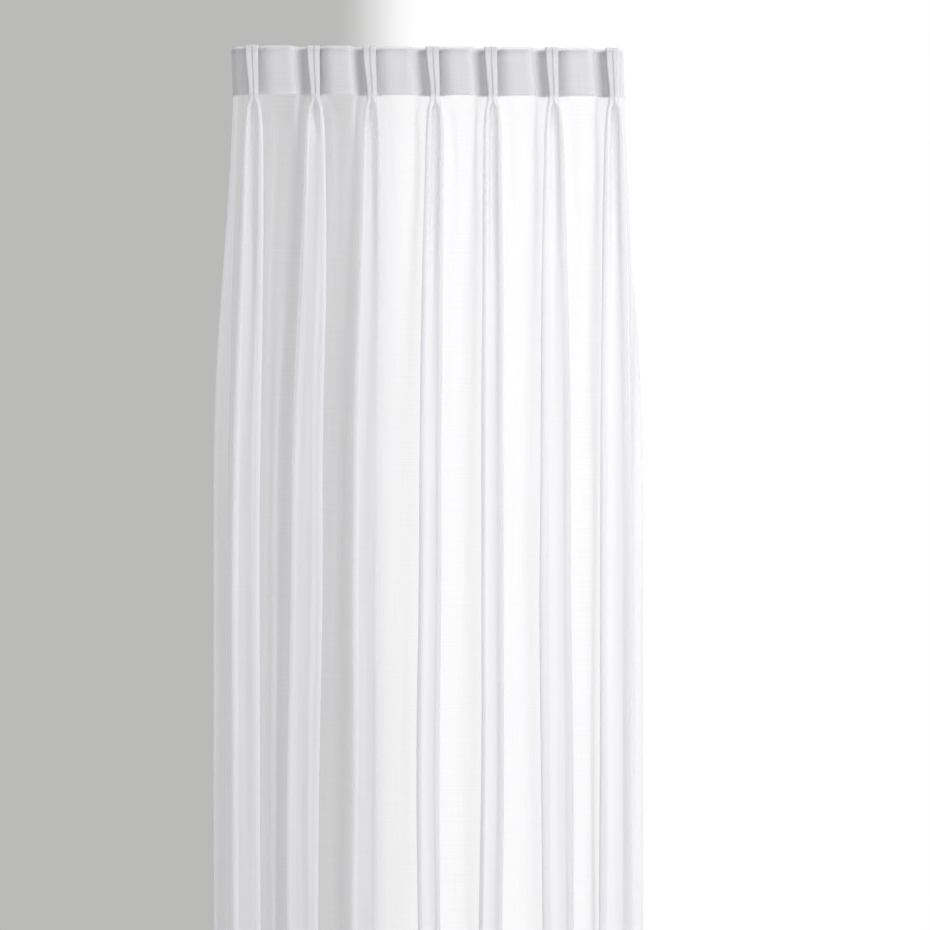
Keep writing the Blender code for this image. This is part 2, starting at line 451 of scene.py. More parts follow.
    def end_knots(self, stretch: Stretch, root: Array, drops: Array) -> Array:
        """Bends the cloth of a free end.

        Args:
            stretch: which end.
            root: where the outer root of the pleat beside it stands at each drop.
            drops: the drops.

        Returns:
            Its knots from the root outwards, without the root.
        """
        left = stretch is Stretch.LEFT_END
        top = self.left_end_top if left else self.right_end_top
        low = self.left_end_low if left else self.right_end_low
        side = -1 if left else 1
        loose = smooth_step(drops, 0, self.ends_loose_by)

        def shape(factor: Array) -> Array:
            """Bends the end.

            Args:
                factor: how many times its table place each bend lies out and back.

            Returns:
                The knots as (rows, knots, 2), with the root.
            """
            whole = [(root, np.zeros_like(root))]
            for a, b in zip(top, low):
                out = (a[0] + (b[0] - a[0]) * loose) * factor
                back = (a[1] + (b[1] - a[1]) * loose) * factor
                whole.append((root + side * out, -back))
            return knot_rows(whole)

        return self.fit(shape, self.cut.end / MM, self.bend_limits, len(drops))[:, 1:]

    def lines(self, drops: Array) -> list[Array]:
        """The cloth's line at each drop, in one array for each stretch.

        Args:
            drops: the drops, in millimetres.

        Returns:
            For each stretch from the left edge on, points as (rows, points, 2).
        """
        middles = [self.middle(pleat, drops) for pleat in self.pleats]
        necks = [self.neck(pleat, drops) for pleat in self.pleats]
        left = self.end_knots(Stretch.LEFT_END, middles[0] - necks[0], drops)[:, ::-1]
        knots, spans = [left], [left.shape[1]]
        for i, pleat in enumerate(self.pleats):
            across = self.pleat_knots(pleat, drops)
            across[:, :, 0] += middles[i][:, None]
            knots.append(across)
            spans += [across.shape[1] // 2, across.shape[1] // 2]
            if i < len(self.spaces):
                start = middles[i] + necks[i]
                end = middles[i + 1] - necks[i + 1]
                inner = self.space_knots(self.spaces[i], start, end, drops)
                knots.append(inner)
                spans.append(inner.shape[1] + 1)
        right = self.end_knots(Stretch.RIGHT_END, middles[-1] + necks[-1], drops)
        curves = smooth_curves(np.concatenate(knots + [right], axis=1), self.curve_steps)
        found, first = [], 0
        for count in spans + [right.shape[1]]:
            part = curves[:, first : first + count]
            inner = part[:, :, 1:].reshape(len(drops), -1, 2)
            found.append(np.concatenate([part[:, 0, :1], inner], axis=1))
            first += count
        return found


@dataclass(frozen=True)
class Crease:
    """A soft trough or ridge in the hanging cloth, placed one by one.

    It runs from a share of a stretch at its upper end to a share of the same
    stretch at its lower end. A positive rise is a ridge towards the room.
    """

    stretch: Stretch
    number: int
    upper: float
    lower: float
    start: float
    end: float
    width: float
    rise: float


@dataclass
class HungSurface:
    """The curtain's hanging surface, as a fine grid over drop and width.

    Each ripple has its height against the first, its length across, how far it
    wanders, and the pace and start of that wander down the cloth.
    """

    section: HangingSection
    creases: tuple[Crease, ...]
    heading_depth: float = 0.300
    heading_step: float = 0.0052
    free_step: float = 0.0165
    end_steps: int = 12
    half_pleat_steps: tuple[int, int, int] = (5, 12, 3)
    space_steps: int = 23
    tip_from: float = 0.42
    tip_to: float = 0.78
    crease_ends: float = 0.7
    ripple: float = 0.00045
    ripple_from: Pair = (0.14, 0.5)
    ripples: tuple[tuple[float, ...], ...] = (
        (1.0, 0.0310, 0.9, 2.1, 0.0),
        (0.7, 0.0193, -0.6, 3.4, 1.0),
    )
    ledge_depth: float = 0.0022
    ledge_side: Pair = (0.03, 0.22)
    ledge_from: Pair = (0.079, 0.090)
    ledge_until: Pair = (0.095, 0.190)

    def __post_init__(self) -> None:
        """Works the surface out."""
        drop = self.section.cut.drop
        near = round(self.heading_depth / self.heading_step)
        far = round((drop - self.heading_depth) / self.free_step)
        upper = np.linspace(0, self.heading_depth, near + 1)
        self.drops = np.concatenate([upper, np.linspace(self.heading_depth, drop, far + 1)[1:]])
        self.along, points = self.spread_columns(self.section.lines(self.drops / MM))
        steps = np.gradient(points, axis=1)
        steps /= np.linalg.norm(steps, axis=2, keepdims=True)
        forward = np.stack([-steps[:, :, 1], steps[:, :, 0]], axis=2)
        points = points * MM + forward * self.relief()[:, :, None]
        height = np.broadcast_to(-self.drops[:, None], points.shape[:2])
        self.points = np.stack([points[:, :, 0], -points[:, :, 1], height], axis=2)
        flat = np.zeros(points.shape[:2])
        self.forward = np.stack([forward[:, :, 0], -forward[:, :, 1], flat], axis=2)

    def column_shares(self, stretch: Stretch) -> Array:
        """Shares a stretch out among its columns, which lie closest round a pleat's tips.

        Args:
            stretch: the kind of stretch.

        Returns:
            Each column's place in it, from 0 to 1.
        """
        if stretch in (Stretch.LEFT_END, Stretch.RIGHT_END):
            return np.linspace(0, 1, self.end_steps + 1)
        if stretch is Stretch.SPACE:
            return np.linspace(0, 1, self.space_steps + 1)
        before, tip, after = self.half_pleat_steps
        rising = np.concatenate([
            np.linspace(0, self.tip_from, before + 1),
            np.linspace(self.tip_from, self.tip_to, tip + 1)[1:],
            np.linspace(self.tip_to, 1, after + 1)[1:],
        ])
        return rising if stretch is Stretch.RISING else 1 - rising[::-1]

    def spread_columns(self, lines: list[Array]) -> tuple[Array, Array]:
        """Places the grid's columns along the cloth's line in every row.

        Args:
            lines: the stretches' lines, as HangingSection.lines gives them.

        Returns:
            Each column's distance from the left edge along the flat cloth, and
            the points as (rows, columns, 2) in millimetres.
        """
        along, columns, start = [], [], 0.0
        for (kind, _, length), line in zip(self.section.cut.stretches(), lines):
            shares = self.column_shares(kind)
            steps = np.linalg.norm(np.diff(line, axis=1), axis=2)
            reach = np.concatenate([np.zeros((len(line), 1)), np.cumsum(steps, axis=1)], axis=1)
            reach /= reach[:, -1:]
            found = np.array([
                [np.interp(shares, row, points[:, axis]) for axis in (0, 1)]
                for row, points in zip(reach, line)
            ]).transpose(0, 2, 1)
            first = 1 if along else 0
            along += list(start + shares[first:] * length)
            columns.append(found[:, first:])
            start += length
        return np.array(along), np.concatenate(columns, axis=1)

    def ledge(self) -> Array:
        """Lets the cloth fall back just under the tape, between the pleats.

        Returns:
            How far it stands out at each point of the grid.
        """
        cut = self.section.cut
        edge, flat = self.ledge_side
        across = np.zeros(len(self.along))
        for number in range(cut.pleats - 1):
            share = (self.along - cut.place(Stretch.SPACE, number, 0.0)) / cut.space
            across += smooth_step(share, edge, flat) * (1 - smooth_step(share, 1 - flat, 1 - edge))
        down = smooth_step(self.drops, *self.ledge_from) * (1 - smooth_step(self.drops, *self.ledge_until))
        return -self.ledge_depth * down[:, None] * across[None, :]

    def relief(self) -> Array:
        """Lays the creases and the ripples over the ledge.

        Returns:
            How far the cloth stands out at each point of the grid.
        """
        drop, along = self.drops[:, None], self.along[None, :]
        relief = self.ledge()
        cut = self.section.cut
        for crease in self.creases:
            upper = cut.place(crease.stretch, crease.number, crease.upper)
            lower = cut.place(crease.stretch, crease.number, crease.lower)
            way = np.clip((drop - crease.start) / (crease.end - crease.start), 0, 1)
            middle = upper + (lower - upper) * way
            across = np.exp(-(((along - middle) / crease.width) ** 2))
            relief += crease.rise * across * np.sin(math.pi * way) ** self.crease_ends
        waves = np.zeros_like(relief)
        for height, length, wander, pace, start in self.ripples:
            turns = along / length + wander * np.sin(drop * pace + start)
            waves += height * np.sin(2 * math.pi * turns)
        return relief + self.ripple * waves * smooth_step(drop, *self.ripple_from)

    def sample(self, drops: Array, along: Array, forward: Array | float = 0.0) -> Array:
        """Finds points on the surface, or a little in front of it.

        Args:
            drops: the points' drops.
            along: their distances from the left edge, along the cloth.
            forward: how far in front of the surface they lie.

        Returns:
            The points.
        """
        row = np.clip(np.searchsorted(self.drops, drops) - 1, 0, len(self.drops) - 2)
        column = np.clip(np.searchsorted(self.along, along) - 1, 0, len(self.along) - 2)
        down = (drops - self.drops[row]) / (self.drops[row + 1] - self.drops[row])
        right = (along - self.along[column]) / (self.along[column + 1] - self.along[column])
        down, right = down[..., None], right[..., None]

        def blend(grid: Array) -> Array:
            """Reads a grid between its four nearest points.

            Args:
                grid: the grid's value at each of its points.

            Returns:
                Its value at the places asked for.
            """
            upper = grid[row, column] * (1 - right) + grid[row, column + 1] * right
            lower = grid[row + 1, column] * (1 - right) + grid[row + 1, column + 1] * right
            return upper * (1 - down) + lower * down

        ahead = blend(self.forward)
        ahead /= np.linalg.norm(ahead, axis=-1, keepdims=True)
        return blend(self.points) + ahead * np.asarray(forward)[..., None]


def add_object(name: str, data: bpy.types.ID) -> bpy.types.Object:
    """Adds an object for a mesh, a lamp or a camera to the scene.

    Args:
        name: the object's name.
        data: what it shows.

    Returns:
        The new object.
    """
    thing = bpy.data.objects.new(name, data)
    bpy.context.scene.collection.objects.link(thing)
    return thing


def smooth_piece(name: str, points: Array, faces: Array) -> bpy.types.Object:
    """Makes a smooth piece from points and faces.

    Args:
        name: the piece's name.
        points: the points, with x, y and z along the last axis.
        faces: four point numbers for each face.

    Returns:
        The new object.
    """
    mesh = bpy.data.meshes.new(name)
    mesh.from_pydata(points.reshape(-1, 3), [], faces.tolist())
    mesh.polygons.foreach_set("use_smooth", np.ones(len(faces), bool))
    return add_object(name, mesh)


def grid_object(name: str, points: Array, across: Array, down: Array) -> bpy.types.Object:
    """Makes a smooth open sheet from a grid of points, with a UV map in metres.

    Args:
        name: the piece's name.
        points: the points as (rows, columns, 3), from the top and from the left.
        across: each column's place on the flat cloth.
        down: each row's place on the flat cloth, measured down.

    Returns:
        The new object.
    """
    rows, columns = points.shape[:2]
    index = np.arange(rows * columns).reshape(rows, columns)
    corners = [index[1:, :-1], index[1:, 1:], index[:-1, 1:], index[:-1, :-1]]
    faces = np.stack(corners, axis=2).reshape(-1, 4)
    sheet = smooth_piece(name, points, faces)
    flat = np.stack(np.broadcast_arrays(across[None, :], -down[:, None]), axis=2).reshape(-1, 2)
    layer = sheet.data.uv_layers.new(name="flat_cloth")
    layer.data.foreach_set("uv", flat[faces.ravel()].ravel())
    return sheet


class Signal:
    """A shader socket that can be written in sums. Numbers mix with it freely."""

    def __init__(self, bench: "Bench", socket: bpy.types.NodeSocket) -> None:
        """Wraps one output socket of a bench's nodes."""
        self.bench = bench
        self.socket = socket

    def _math(self, operation: str, *values: "Signal | float") -> "Signal":
        """Adds one Math node."""
        inputs = dict(enumerate(values))
        return self.bench.node("ShaderNodeMath", {"operation": operation}, inputs)

    def __add__(self, other: "Signal | float") -> "Signal":
        """self + other."""
        return self._math("ADD", self, other)

    def __sub__(self, other: "Signal | float") -> "Signal":
        """self - other."""
        return self._math("SUBTRACT", self, other)

    def __rsub__(self, other: float) -> "Signal":
        """other - self."""
        return self._math("SUBTRACT", other, self)

    def __mul__(self, other: "Signal | float") -> "Signal":
        """self * other."""
        return self._math("MULTIPLY", self, other)

    def __truediv__(self, other: "Signal | float") -> "Signal":
        """self / other."""
        return self._math("DIVIDE", self, other)

    __radd__ = __add__
    __rmul__ = __mul__

    def sine(self) -> "Signal":
        """The sine of this value."""
        return self._math("SINE", self)

    def clamped(self) -> "Signal":
        """This value, held between 0 and 1."""
        return self._math("MINIMUM", self._math("MAXIMUM", self, 0.0), 1.0)

    def threads(self, pitch: float) -> "Signal":
        """Waves between 0 and 1, one for each thread of the given pitch."""
        return (self * (2 * math.pi / pitch)).sine() * 0.5 + 0.5

    def band(self, start: float, end: float, soft: float) -> "Signal":
        """1 between start and end and 0 outside, with edges of the soft width."""
        return ((self - start) / soft + 0.5).clamped() * ((end - self) / soft + 0.5).clamped()


class Bench:
    """The nodes of one material or world."""

    def __init__(self, owner: bpy.types.Material | bpy.types.World) -> None:
        """Clears the nodes of a material or world.

        Args:
            owner: the material or world to build in.
        """
        owner.use_nodes = True
        self.tree = owner.node_tree
        self.tree.nodes.clear()

    def node(self, kind: str, settings: dict[str, object] | None = None,
             inputs: dict[str | int, object] | None = None, output: str | int = 0) -> Signal:
        """Adds any node.

        Args:
            kind: the node's type.
            settings: its settings, which are set first.
            inputs: values or signals for its inputs, by name or number.
            output: the output to return.

        Returns:
            The signal of that output.
        """
        made = self.tree.nodes.new(kind)
        for name, value in (settings or {}).items():
            setattr(made, name, value)
        for name, value in (inputs or {}).items():
            if isinstance(value, Signal):
                self.tree.links.new(value.socket, made.inputs[name])
            else:
                made.inputs[name].default_value = value
        return Signal(self, made.outputs[output])

    def parts(self, vector: Signal) -> list[Signal]:
        """The x, y and z of a vector."""
        apart = self.node("ShaderNodeSeparateXYZ", inputs={0: vector}).socket.node
        return [Signal(self, output) for output in apart.outputs]

    def flat_cloth(self) -> list[Signal]:
        """The flat cloth's coordinates, across and up, in metres."""
        return self.parts(self.node("ShaderNodeUVMap", {"uv_map": "flat_cloth"}))[:2]

    def in_pleats(self, across: Signal, cut: Cut, edges: Pair) -> Signal:
        """Marks the flat cloth that is taken up in pleats.

        Args:
            across: the place across the flat cloth.
            cut: the cloth's cut.
            edges: how steep the mark's edges are, and where they lie, from 0 at
                a pleat's roots to 1 at its middle.

        Returns:
            1 in a pleat and 0 in a space.
        """
        turn = 2 * math.pi / (cut.pleat + cut.space)
        wave = (across * turn + (math.pi / 2 - turn * (cut.end + cut.pleat / 2))).sine()
        return ((wave - edges[1]) * edges[0] + 0.5).clamped()

    def noise(self, across: Signal, up: Signal, scale: Pair, detail: float = 2.0) -> Signal:
        """Adds even noise about 0.5.

        Args:
            across: the place across the flat cloth.
            up: the place up it.
            scale: the noise's scale across and up.
            detail: the number of its finer layers.

        Returns:
            The noise.
        """
        place = self.node("ShaderNodeCombineXYZ", inputs={0: across * scale[0], 1: up * scale[1]})
        settings = {"noise_dimensions": "2D"}
        return self.node("ShaderNodeTexNoise", settings, {"Vector": place, "Scale": 1.0, "Detail": detail})

    def tint(self, factor: Signal, low: tuple[float, ...], high: tuple[float, ...]) -> Signal:
        """A colour from low to high, by a factor."""
        inputs = {0: factor, 6: (*low, 1.0), 7: (*high, 1.0)}
        return self.node("ShaderNodeMix", {"data_type": "RGBA"}, inputs, 2)

    def bump(self, height: Signal, distance: float, strength: float) -> Signal:
        """A Bump node's normal."""
        inputs = {"Height": height, "Distance": distance, "Strength": strength}
        return self.node("ShaderNodeBump", inputs=inputs, output="Normal")

    def finish(self, shader: Signal, kind: str = "ShaderNodeOutputMaterial") -> None:
        """Joins a shader to the output of the material or world."""
        out = self.tree.nodes.new(kind)
        self.tree.links.new(shader.socket, out.inputs["Surface"])

    def finish_sheer(self, front: Signal, behind: dict[str, object], lets_light: float,
                     cover: Signal) -> None:
        """Finishes a material as a cloth that passes light and lets one see through.

        Args:
            front: the shader of the cloth's face.
            behind: the inputs of its Translucent shader.
            lets_light: the share of light that the cloth passes on.
            cover: the share of the view that its threads close.
        """
        through = self.node("ShaderNodeBsdfTranslucent", inputs=behind)
        cloth = self.node("ShaderNodeMixShader", inputs={0: lets_light, 1: front, 2: through})
        clear = self.node("ShaderNodeBsdfTransparent", inputs={"Color": (1.0, 1.0, 1.0, 1.0)})
        self.finish(self.node("ShaderNodeMixShader", inputs={0: cover, 1: clear, 2: cloth}))


@dataclass(frozen=True)
class VoileFinish:
    """Fine plain-weave voile: white with a breath of lavender, and sheer.

    Seen at a slant it closes up, as its threads then stand closer, and where it
    is taken up in a pleat it keeps fine gathers that close it a little more.
    """

    cut: Cut
    name: str = "white_voile"
    body: Triple = (0.84, 0.84, 0.865)
    shade: Triple = (0.79, 0.79, 0.825)
    cover: float = 0.34
    gathered_cover: float = 0.34
    gathered_edges: Pair = (1.5, 0.0)
    slant_cover: float = 0.85
    lets_light: float = 0.34
    thread_pitch: float = 0.0007
    slub: float = 0.04
    slub_mean: float = 1.0
    slub_height: float = 0.2
    slub_scales: tuple[Pair, Pair] = ((900.0, 9.0), (7.0, 700.0))
    weave: float = 0.05
    weave_mean: float = 0.25
    weave_height: float = 0.6
    cloud_scale: Pair = (14.0, 5.0)
    cloud_detail: float = 3.0
    relief: Pair = (0.00010, 0.16)

    def build(self) -> bpy.types.Material:
        """Makes the material.

        Returns:
            The material.
        """
        material = bpy.data.materials.new(self.name)
        bench = Bench(material)
        across, up = bench.flat_cloth()
        weave = across.threads(self.thread_pitch) * up.threads(self.thread_pitch)
        warp_slubs, weft_slubs = (bench.noise(across, up, scale) for scale in self.slub_scales)
        slubs = warp_slubs + weft_slubs
        cloudy = bench.noise(across, up, self.cloud_scale, self.cloud_detail)
        normal = bench.bump(weave * self.weave_height + slubs * self.slub_height, *self.relief)
        front = bench.node("ShaderNodeBsdfPrincipled", inputs={
            "Base Color": bench.tint(cloudy, self.shade, self.body), "Roughness": 0.72,
            "Specular IOR Level": 0.25, "Sheen Weight": 0.25, "Sheen Roughness": 0.45,
            "Normal": normal,
        })
        slant = bench.node("ShaderNodeLayerWeight", inputs={"Blend": 0.5}, output="Facing")
        gathered = bench.in_pleats(across, self.cut, self.gathered_edges)
        woven = self.cover + gathered * self.gathered_cover
        woven = woven + (slubs - self.slub_mean) * self.slub
        woven = woven + (weave - self.weave_mean) * self.weave
        cover = (woven + (1 - woven) * slant * self.slant_cover).clamped()
        behind = {"Color": (*self.body, 1.0), "Normal": normal}
        bench.finish_sheer(front, behind, self.lets_light, cover)
        return material


@dataclass(frozen=True)
class TapeFinish:
    """Stiff woven heading tape: close ribs across it, and denser selvedges.

    It is painted lighter in the pleats, partly as it lies double there and partly as painted light on the
    standing pleats; its grey body is painted shade on the recessed cloth between them.
    """

    cut: Cut
    name: str = "stiff_tape"
    # the tape's grey body, painted darker as shade on the recessed cloth between the pleats; the pleat
    # colour below is lighter for the double tape and as painted light on the standing pleats
    body: Triple = (0.65, 0.65, 0.675)
    doubled_and_lit: Triple = (0.91, 0.91, 0.93)
    cover: float = 0.92
    lets_light: float = 0.10
    rib_pitch: float = 0.0011
    rib_cover: float = 0.08
    rib_height: float = 0.7
    pick_height: float = 0.3
    relief: Pair = (0.00015, 0.5)
    top: float = 0.003
    bottom: float = 0.080
    selvedge: float = 0.008
    selvedge_soft: float = 0.003
    selvedge_cover: float = 0.08
    selvedge_white: float = 0.22
    # where the lighter pleat colour takes over, and how much of it: the double tape plus painted light on
    # the standing pleats
    pleat_lit_edges: Pair = (4.0, 0.35)
    pleat_lit_white: float = 0.85
    grain_white: float = 0.15
    grain_scale: Pair = (300.0, 40.0)

    def build(self) -> bpy.types.Material:
        """Makes the material.

        Returns:
            The material.
        """
        material = bpy.data.materials.new(self.name)
        bench = Bench(material)
        across, up = bench.flat_cloth()
        ribs, picks = across.threads(self.rib_pitch), up.threads(self.rib_pitch)
        rim = 1 - up.band(self.selvedge - self.bottom, -self.top - self.selvedge, self.selvedge_soft)
        grain = bench.noise(across, up, self.grain_scale)
        # painted light and shade: grey body between the pleats, lighter in them, partly for the double
        # tape
        folded = bench.in_pleats(across, self.cut, self.pleat_lit_edges)
        white = folded * self.pleat_lit_white + grain * self.grain_white + rim * self.selvedge_white
        front = bench.node("ShaderNodeBsdfPrincipled", inputs={
            "Base Color": bench.tint(white.clamped(), self.body, self.doubled_and_lit),
            "Roughness": 0.55, "Specular IOR Level": 0.35,
            "Normal": bench.bump(ribs * self.rib_height + picks * self.pick_height, *self.relief),
        })
        cover = self.cover + rim * self.selvedge_cover + (ribs - 0.5) * self.rib_cover
        bench.finish_sheer(front, {"Color": (*self.body, 1.0)}, self.lets_light, cover.clamped())
        return material


@dataclass(frozen=True)
class ThreadFinish:
    """White polyester sewing thread with a slight gloss."""

    name: str = "white_thread"
    body: Triple = (0.88, 0.88, 0.91)
    # painted shade: how much darker the thread is painted in the grooves between its plies
    shade: float = 0.9
    ply_pitch: float = 0.0005
    relief: Pair = (0.00005, 0.5)

    def build(self) -> bpy.types.Material:
        """Makes the material.

        Returns:
            The material.
        """
        material = bpy.data.materials.new(self.name)
        bench = Bench(material)
        place = bench.parts(bench.node("ShaderNodeTexCoord", output="Object"))
        plies = (place[0] + place[2]).threads(self.ply_pitch)
        bench.finish(bench.node("ShaderNodeBsdfPrincipled", inputs={
            # painted shade: the colour darkens in the ply grooves, in step with the bump
            "Base Color": bench.tint(plies, tuple(self.shade * c for c in self.body), self.body),
            "Roughness": 0.42, "Specular IOR Level": 0.5,
            "Normal": bench.bump(plies, *self.relief),
        }))
        return material


@dataclass(frozen=True)
class FloorFinish:
    """A plain pale floor."""

    name: str = "pale_floor"
    colour: Triple = (0.62, 0.62, 0.62)
    shade: float = 0.97

    def build(self) -> bpy.types.Material:
        """Makes the material.

        Returns:
            The material.
        """
        material = bpy.data.materials.new(self.name)
        bench = Bench(material)
        place = bench.node("ShaderNodeTexCoord", output="Object")
        grain = bench.node("ShaderNodeTexNoise", inputs={"Vector": place, "Scale": 3.0, "Detail": 3.0})
        colour = bench.tint(grain, tuple(self.shade * c for c in self.colour), self.colour)
        inputs = {"Base Color": colour, "Roughness": 0.8, "Specular IOR Level": 0.2}
        bench.finish(bench.node("ShaderNodeBsdfPrincipled", inputs=inputs))
        return material


@dataclass
class VoilePanel:
    """The cloth, with its side hems, bottom hem and top edge turned to the back."""

    surface: HungSurface
    finish: VoileFinish
    thread: bpy.types.Object
    side_hem_gap: float = 0.00045
    turn_gap: float = 0.00070
    side_hem_steps: int = 5
    bottom_hem_steps: int = 6
    top_turn_steps: int = 3

    def turned(self, main: Array, first: float, last: float,
               steps: tuple[int, int]) -> tuple[Array, Array, Array]:
        """Extends a direction of the grid with a turning at either end.

        Args:
            main: the grid's places in this direction.
            first: the depth of the turning before the first of them.
            last: the depth of the turning after the last of them.
            steps: the number of steps in each turning.

        Returns:
            Places on the flat cut, places on the hanging surface, and 1 in a
            turning or 0 outside.
        """
        start = np.linspace(first, 0, steps[0] + 1)
        end = np.linspace(0, last, steps[1] + 1)
        flat = np.concatenate([main[0] - start, main, main[-1] + end])
        on_surface = np.concatenate([main[0] + start, main, main[-1] - end])
        behind = np.concatenate([np.ones(len(start)), np.zeros(len(main)), np.ones(len(end))])
        return flat, on_surface, behind

    def build(self) -> bpy.types.Object:
        """Makes the cloth in place of its solid.

        Returns:
            The cloth.
        """
        cut = self.surface.section.cut
        hems = (self.side_hem_steps, self.side_hem_steps)
        across, along, side = self.turned(self.surface.along, cut.side_hem, cut.side_hem, hems)
        turns = (self.top_turn_steps, self.bottom_hem_steps)
        down, drops, turn = self.turned(self.surface.drops, cut.top_turn, cut.bottom_hem, turns)
        behind = side[None, :] * self.side_hem_gap + turn[:, None] * self.turn_gap
        rows, columns = np.broadcast_arrays(drops[:, None], along[None, :])
        points = self.surface.sample(rows, columns, -behind)
        panel = grid_object("hanging_voile", points, across, down)
        panel.data.materials.append(self.finish.build())
        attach(panel, "root")
        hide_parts("voile_panel")
        cut.flat
        LOG.info("%s: %d faces, cut %.3f by %.3f m", panel.name, len(panel.data.polygons), *cut.flat)
        return panel


@dataclass
class HeadingTape:
    """The stiff tape behind the heading, folded into every pleat with the cloth."""

    surface: HungSurface
    finish: TapeFinish
    behind: float = TAPE_BEHIND
    steps: int = 13

    def build(self) -> bpy.types.Object:
        """Makes the tape in place of its solid.

        Returns:
            The tape.
        """
        drops = np.linspace(self.finish.top, self.finish.bottom, self.steps + 1)
        along = self.surface.along
        rows, columns = np.broadcast_arrays(drops[:, None], along[None, :])
        points = self.surface.sample(rows, columns, -self.behind)
        tape = grid_object("pleated_tape", points, along, drops)
        tape.data.materials.append(self.finish.build())
        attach(tape, "root")
        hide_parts("heading_tape")
        flat = (self.surface.section.cut.width, self.finish.bottom - self.finish.top)
        LOG.info("%s: %d faces, %.3f by %.3f m flat", tape.name, len(tape.data.polygons), *flat)
        return tape


@dataclass(frozen=True)
class Seam:
    """A straight row of stitches on the flat cloth, from one point to another."""

    start: Pair
    end: Pair
    side: Side


@dataclass
class Sewing:
    """The thread: seams along the hems and the tape, and a tack at each pinch.

    A stitch is a closed spindle that tapers beyond its shoulders. It is turned
    about its own length from askew, a direction that no stitch runs in.
    """

    surface: HungSurface
    finish: ThreadFinish
    stitch: float = 0.0027
    pitch: float = 0.0034
    thread: float = 0.00022
    shoulder: float = 0.3
    taper: float = 0.35
    askew: Triple = (0.31, 0.17, 0.93)
    above_cloth: float = 0.00012
    hem_edge: float = 0.0015
    seam_inset: float = 0.002
    tape_top: float = 0.006
    tape_bottom: float = 0.077
    tape_behind: float = TAPE_BEHIND
    finger_tip: float = 0.57
    tack_drop: float = 0.0795
    tack_strands: int = 6
    tack_pitch: float = 0.0011
    tack_width: float = 0.0062

    def template(self) -> tuple[Array, Array]:
        """Models one stitch, a metre long along X, and reads its mesh.

        Returns:
            Its points, and its faces as rows of four.
        """
        bpy.ops.object.select_all(action="DESELECT")
        bpy.ops.mesh.primitive_cylinder_add(vertices=4, radius=1, depth=1, end_fill_type="NGON",
                                            rotation=(0, math.pi / 2, 0))
        spindle = bpy.context.object
        bpy.ops.object.transform_apply(location=False, rotation=True, scale=False)
        bpy.ops.object.mode_set(mode="EDIT")
        for place in (-self.shoulder, self.shoulder):
            bpy.ops.mesh.select_all(action="SELECT")
            bpy.ops.mesh.bisect(plane_co=(place, 0, 0), plane_no=(1, 0, 0))
        bpy.ops.object.mode_set(mode="OBJECT")
        mesh = spindle.data
        points = np.array([vertex.co for vertex in mesh.vertices])
        ends = np.abs(points[:, 0]) > (self.shoulder + 0.5) / 2
        points[ends, 1:] *= self.taper
        faces = np.array([list(face.vertices) for face in mesh.polygons])
        bpy.data.objects.remove(spindle)
        bpy.data.meshes.remove(mesh)
        return points, faces

    def seams(self) -> list[Seam]:
        """Sets out every straight seam, as (along, drop) on the flat cloth.

        Returns:
            The seams.
        """
        cut = self.surface.section.cut
        inset = cut.side_hem - self.hem_edge
        hem_top = cut.drop - cut.bottom_hem + self.hem_edge
        left, right = self.seam_inset, cut.width - self.seam_inset
        found = [
            Seam((along, self.tape_bottom), (along, hem_top), Side.FRONT)
            for along in (inset, cut.width - inset)
        ]
        found.append(Seam((left, hem_top), (right, hem_top), Side.FRONT))
        for drop in (self.tape_top, self.tape_bottom):
            found += [Seam((left, drop), (right, drop), side) for side in Side]
        return found

    def strands(self, seam: Seam) -> list[Array]:
        """Sews a seam.

        Args:
            seam: the seam.

        Returns:
            The first ends of its stitches, and their second ends.
        """
        start, end = np.array(seam.start), np.array(seam.end)
        length = np.linalg.norm(end - start)
        first = (np.arange(int(length / self.pitch)) * self.pitch)[:, None]
        way = (end - start) / length
        height = self.above_cloth if seam.side is Side.FRONT else -self.above_cloth - self.tape_behind
        ends = [start + way * first, start + way * (first + self.stitch)]
        return [self.surface.sample(flat[:, 1], flat[:, 0], height) for flat in ends]

    def tacks(self) -> list[Array]:
        """Holds each pleat's two fingers together with strands across the pinch.

        Returns:
            The first ends of the strands, and their second ends.
        """
        cut = self.surface.section.cut
        tip = self.finger_tip * cut.pleat / 2
        starts, ends = [], []
        for number in range(cut.pleats):
            root = cut.place(Stretch.RISING, number, 0.0)
            tips = np.array([root + tip, root + cut.pleat - tip])
            for strand in range(self.tack_strands):
                drop = np.full(2, self.tack_drop + strand * self.tack_pitch)
                held = self.surface.sample(drop, tips, self.above_cloth)
                middle, way = held.mean(axis=0), held[1] - held[0]
                way = way / np.linalg.norm(way) * self.tack_width / 2
                starts.append(middle - way)
                ends.append(middle + way)
        return [np.array(starts), np.array(ends)]

    def build(self) -> bpy.types.Object:
        """Makes all the thread as one piece.

        Returns:
            The thread.
        """
        points, faces = self.template()
        sewn = [self.strands(seam) for seam in self.seams()] + [self.tacks()]
        start, end = (np.concatenate(ends) for ends in zip(*sewn))
        way = end - start
        across = np.cross(way, np.array(self.askew))
        across /= np.linalg.norm(across, axis=1, keepdims=True)
        up = np.cross(way / np.linalg.norm(way, axis=1, keepdims=True), across)
        placed = (
            ((start + end) / 2)[:, None]
            + points[None, :, :1] * way[:, None]
            + points[None, :, 1:2] * across[:, None] * self.thread
            + points[None, :, 2:] * up[:, None] * self.thread
        )
        shifts = (np.arange(len(start)) * len(points))[:, None, None]
        thread = smooth_piece("sewing_thread", placed, (faces[None] + shifts).reshape(-1, 4))
        thread.data.materials.append(self.finish.build())
        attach(thread, "root")
        LOG.info("%s: %d stitches, %d faces", thread.name, len(start), len(thread.data.polygons))
        return thread


@dataclass(frozen=True)
class Lamp:
    """A soft square lamp that the camera doesn't see."""

    name: str
    place: Triple
    aim: Triple
    size: float
    power: float


